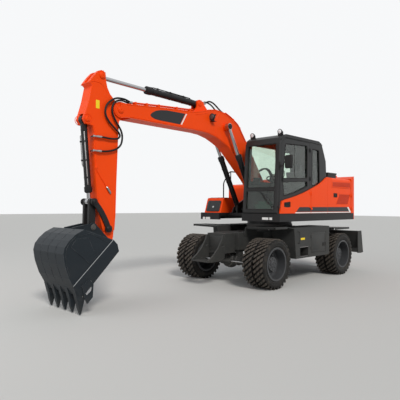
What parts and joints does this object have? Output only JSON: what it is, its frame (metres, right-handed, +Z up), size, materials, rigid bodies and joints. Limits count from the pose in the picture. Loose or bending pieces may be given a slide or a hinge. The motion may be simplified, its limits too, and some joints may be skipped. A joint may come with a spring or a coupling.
{
  "type": "wheeled excavator",
  "caption": "Wheeled excavator with twin tyres, cab, cranked boom, stick and toothed bucket, and a rear blade; steers, swings and digs on real joints.",
  "frame": {"origin": "on the ground under the middle of the whole machine's box, which the arm, blade and mirror stretch", "axes": "+X to the bucket, +Y to the cab side, +Z up"},
  "size_m": [8.366, 2.8, 4.01],
  "materials": {
    "orange_paint": "gloss",
    "grey_paint": "satin",
    "black_paint": "satin",
    "rim_paint": "satin",
    "bucket_paint": "satin",
    "cast_metal": "matte",
    "rod_chrome": "polished",
    "tyre": "matte",
    "tinted_glass": "clear",
    "seat_fabric": "matte",
    "cab_plastic": "matte"
  },
  "bodies": {
    "chassis": {"main_frame": "grey_paint", "slew_ring": "cast_metal", "step_box_left": "grey_paint", "step_box_right": "grey_paint", "mudguards": "grey_paint", "front_axle": "grey_paint", "rear_axle": "grey_paint", "drive_shafts": "black_paint"},
    "tie_rod": {"tie_rod": "rod_chrome"},
    "knuckle_left": {"knuckle_left": "grey_paint"},
    "knuckle_right": {"knuckle_right": "grey_paint"},
    "wheels_front_left": {"tyres_front_left": "tyre", "wheel_front_left": "rim_paint"},
    "wheels_front_right": {"tyres_front_right": "tyre", "wheel_front_right": "rim_paint"},
    "wheels_rear_left": {"tyres_rear_left": "tyre", "wheel_rear_left": "rim_paint"},
    "wheels_rear_right": {"tyres_rear_right": "tyre", "wheel_rear_right": "rim_paint"},
    "blade": {"blade": "grey_paint"},
    "blade_barrels": {"blade_barrels": "black_paint"},
    "blade_rods": {"blade_rods": "rod_chrome"},
    "upper": {"deck": "black_paint", "cab_shell": "black_paint", "cab_glass": "tinted_glass", "seat": "seat_fabric", "controls": "cab_plastic", "body_panels": "orange_paint", "counterweight": "orange_paint", "engine_block": "cast_metal", "tank": "orange_paint", "tool_box": "orange_paint", "cab_mirror": "cab_plastic", "lamps": "cab_plastic", "foot_hose_left": "black_paint", "foot_hose_right": "black_paint"},
    "cab_door": {"cab_door": "black_paint", "door_skin": "orange_paint", "door_glass": "tinted_glass"},
    "bonnet": {"bonnet": "orange_paint", "intake": "black_paint"},
    "service_door_left": {"service_door_left": "orange_paint"},
    "service_door_right": {"service_door_right": "orange_paint"},
    "boom": {"boom": "orange_paint", "boom_pipes": "orange_paint", "boom_lamp": "black_paint", "tip_hose_outer": "black_paint", "tip_hose_inner": "black_paint", "knee_hose_left": "black_paint", "knee_hose_right": "black_paint"},
    "boom_barrels": {"boom_barrels": "black_paint"},
    "boom_rods": {"boom_rods": "rod_chrome"},
    "stick_barrel": {"stick_barrel": "black_paint"},
    "stick_rod": {"stick_rod": "rod_chrome"},
    "stick": {"stick": "orange_paint"},
    "bucket_barrel": {"bucket_barrel": "black_paint"},
    "bucket_rod": {"bucket_rod": "rod_chrome"},
    "side_links": {"side_links": "black_paint"},
    "bucket_link": {"bucket_link": "black_paint"},
    "bucket": {"bucket": "bucket_paint"}
  },
  "joints": [
    {"name": "steer_left", "type": "hinge", "parent": "chassis", "child": "knuckle_left", "pos_m": [-0.083, 0.48, 0.52], "axis": [0, 0, 1], "range_deg": [-25, 25]},
    {"name": "steer_right", "type": "hinge", "parent": "chassis", "child": "knuckle_right", "pos_m": [-0.083, -0.76, 0.52], "axis": [0, 0, 1], "range_deg": [-25.5, 25.5]},
    {"name": "tie_rod_slide", "type": "slide", "parent": "chassis", "child": "tie_rod", "axis": [0, 1, 0], "range_m": [-0.105, 0.105]},
    {"name": "wheels_front_left_spin", "type": "hinge", "parent": "knuckle_left", "child": "wheels_front_left", "pos_m": [-0.083, 0.845, 0.52], "axis": [0, 1, 0], "continuous": true},
    {"name": "wheels_front_right_spin", "type": "hinge", "parent": "knuckle_right", "child": "wheels_front_right", "pos_m": [-0.083, -1.125, 0.52], "axis": [0, 1, 0], "continuous": true},
    {"name": "wheels_rear_left_spin", "type": "hinge", "parent": "chassis", "child": "wheels_rear_left", "pos_m": [-3.008, 0.845, 0.52], "axis": [0, 1, 0], "continuous": true},
    {"name": "wheels_rear_right_spin", "type": "hinge", "parent": "chassis", "child": "wheels_rear_right", "pos_m": [-3.008, -1.125, 0.52], "axis": [0, 1, 0], "continuous": true},
    {"name": "swing", "type": "hinge", "parent": "chassis", "child": "upper", "pos_m": [-1.563, -0.14, 1.29], "axis": [0, 0, 1], "continuous": true},
    {"name": "boom_lift", "type": "hinge", "parent": "upper", "child": "boom", "pos_m": [-1.413, -0.29, 1.9], "axis": [0, 1, 0], "range_deg": [-25, 50], "deforming": ["foot_hose_left", "foot_hose_right"]},
    {"name": "boom_barrels_pivot", "type": "hinge", "parent": "upper", "child": "boom_barrels", "pos_m": [-0.863, -0.29, 1.63], "axis": [0, 1, 0], "range_deg": [-27.3, 54.3]},
    {"name": "boom_rods_slide", "type": "slide", "parent": "boom_barrels", "child": "boom_rods", "axis": [0.4832, 0, 0.8755], "range_m": [-0.467, 0.235]},
    {"name": "stick_swing", "type": "hinge", "parent": "boom", "child": "stick", "pos_m": [2.937, -0.29, 3.39], "axis": [0, -1, 0], "range_deg": [-30, 80], "deforming": ["tip_hose_outer", "tip_hose_inner"]},
    {"name": "stick_barrel_pivot", "type": "hinge", "parent": "boom", "child": "stick_barrel", "pos_m": [0.887, -0.29, 3.87], "axis": [0, 1, 0], "range_deg": [-4.7, 1.9]},
    {"name": "stick_rod_slide", "type": "slide", "parent": "stick_barrel", "child": "stick_rod", "axis": [0.9997, 0, 0.0228], "range_m": [-0.792, 0.299]},
    {"name": "bucket_curl", "type": "hinge", "parent": "stick", "child": "bucket", "pos_m": [3.157, -0.29, 1.03], "axis": [0, -1, 0], "range_deg": [-155, 0]},
    {"name": "side_links_pivot", "type": "hinge", "parent": "stick", "child": "side_links", "pos_m": [3.167, -0.29, 1.307], "axis": [0, 1, 0], "range_deg": [-0.5, 124]},
    {"name": "bucket_link_pivot", "type": "hinge", "parent": "bucket", "child": "bucket_link", "pos_m": [3.457, -0.29, 1.34], "axis": [0, 1, 0], "range_deg": [-92.5, 0.5]},
    {"name": "bucket_barrel_pivot", "type": "hinge", "parent": "stick", "child": "bucket_barrel", "pos_m": [3.577, -0.29, 3.14], "axis": [0, 1, 0], "range_deg": [-1, 0.5]},
    {"name": "bucket_rod_slide", "type": "slide", "parent": "bucket_barrel", "child": "bucket_rod", "axis": [-0.0905, 0, -0.9959], "range_m": [-0.002, 0.953]},
    {"name": "blade_lift", "type": "hinge", "parent": "chassis", "child": "blade", "pos_m": [-3.363, -0.14, 0.62], "axis": [0, -1, 0], "range_deg": [0, 38]},
    {"name": "blade_barrels_pivot", "type": "hinge", "parent": "chassis", "child": "blade_barrels", "pos_m": [-3.443, -0.14, 1.03], "axis": [0, 1, 0], "range_deg": [-19.2, 0.3]},
    {"name": "blade_rods_slide", "type": "slide", "parent": "blade_barrels", "child": "blade_rods", "axis": [-0.686, 0, -0.7276], "range_m": [-0.001, 0.198]},
    {"name": "cab_door_swing", "type": "hinge", "parent": "upper", "child": "cab_door", "pos_m": [-1.429, 1.111, 2], "axis": [0, 0, 1], "range_deg": [0, 165]},
    {"name": "bonnet_lift", "type": "hinge", "parent": "upper", "child": "bonnet", "pos_m": [-2.416, -0.14, 2.437], "axis": [0, 1, 0], "range_deg": [0, 55]},
    {"name": "service_door_left_swing", "type": "hinge", "parent": "upper", "child": "service_door_left", "pos_m": [-3.461, 1.118, 2], "axis": [0, 0, 1], "range_deg": [0, 110]},
    {"name": "service_door_right_swing", "type": "hinge", "parent": "upper", "child": "service_door_right", "pos_m": [-3.461, -1.398, 2], "axis": [0, 0, -1], "range_deg": [0, 110]}
  ],
  "couplings": [
    {"joint": "steer_right", "follows": "steer_left", "ratio": 1},
    {"joint": "tie_rod_slide", "follows": "steer_left", "m_per_rad": 0.23},
    {"joint": "boom_barrels_pivot", "follows": "boom_lift", "ratio": 1.0793},
    {"joint": "boom_rods_slide", "follows": "boom_lift", "m_per_rad": -0.532},
    {"joint": "stick_barrel_pivot", "follows": "stick_swing", "ratio": -0.0551},
    {"joint": "stick_rod_slide", "follows": "stick_swing", "m_per_rad": -0.5646},
    {"joint": "side_links_pivot", "follows": "bucket_curl", "ratio": -0.7952},
    {"joint": "bucket_link_pivot", "follows": "bucket_curl", "ratio": 0.5914},
    {"joint": "bucket_barrel_pivot", "follows": "bucket_curl", "ratio": 0.0044},
    {"joint": "bucket_rod_slide", "follows": "bucket_curl", "m_per_rad": -0.3508},
    {"joint": "blade_barrels_pivot", "follows": "blade_lift", "ratio": -0.4957},
    {"joint": "blade_rods_slide", "follows": "blade_lift", "m_per_rad": 0.2938}
  ]
}
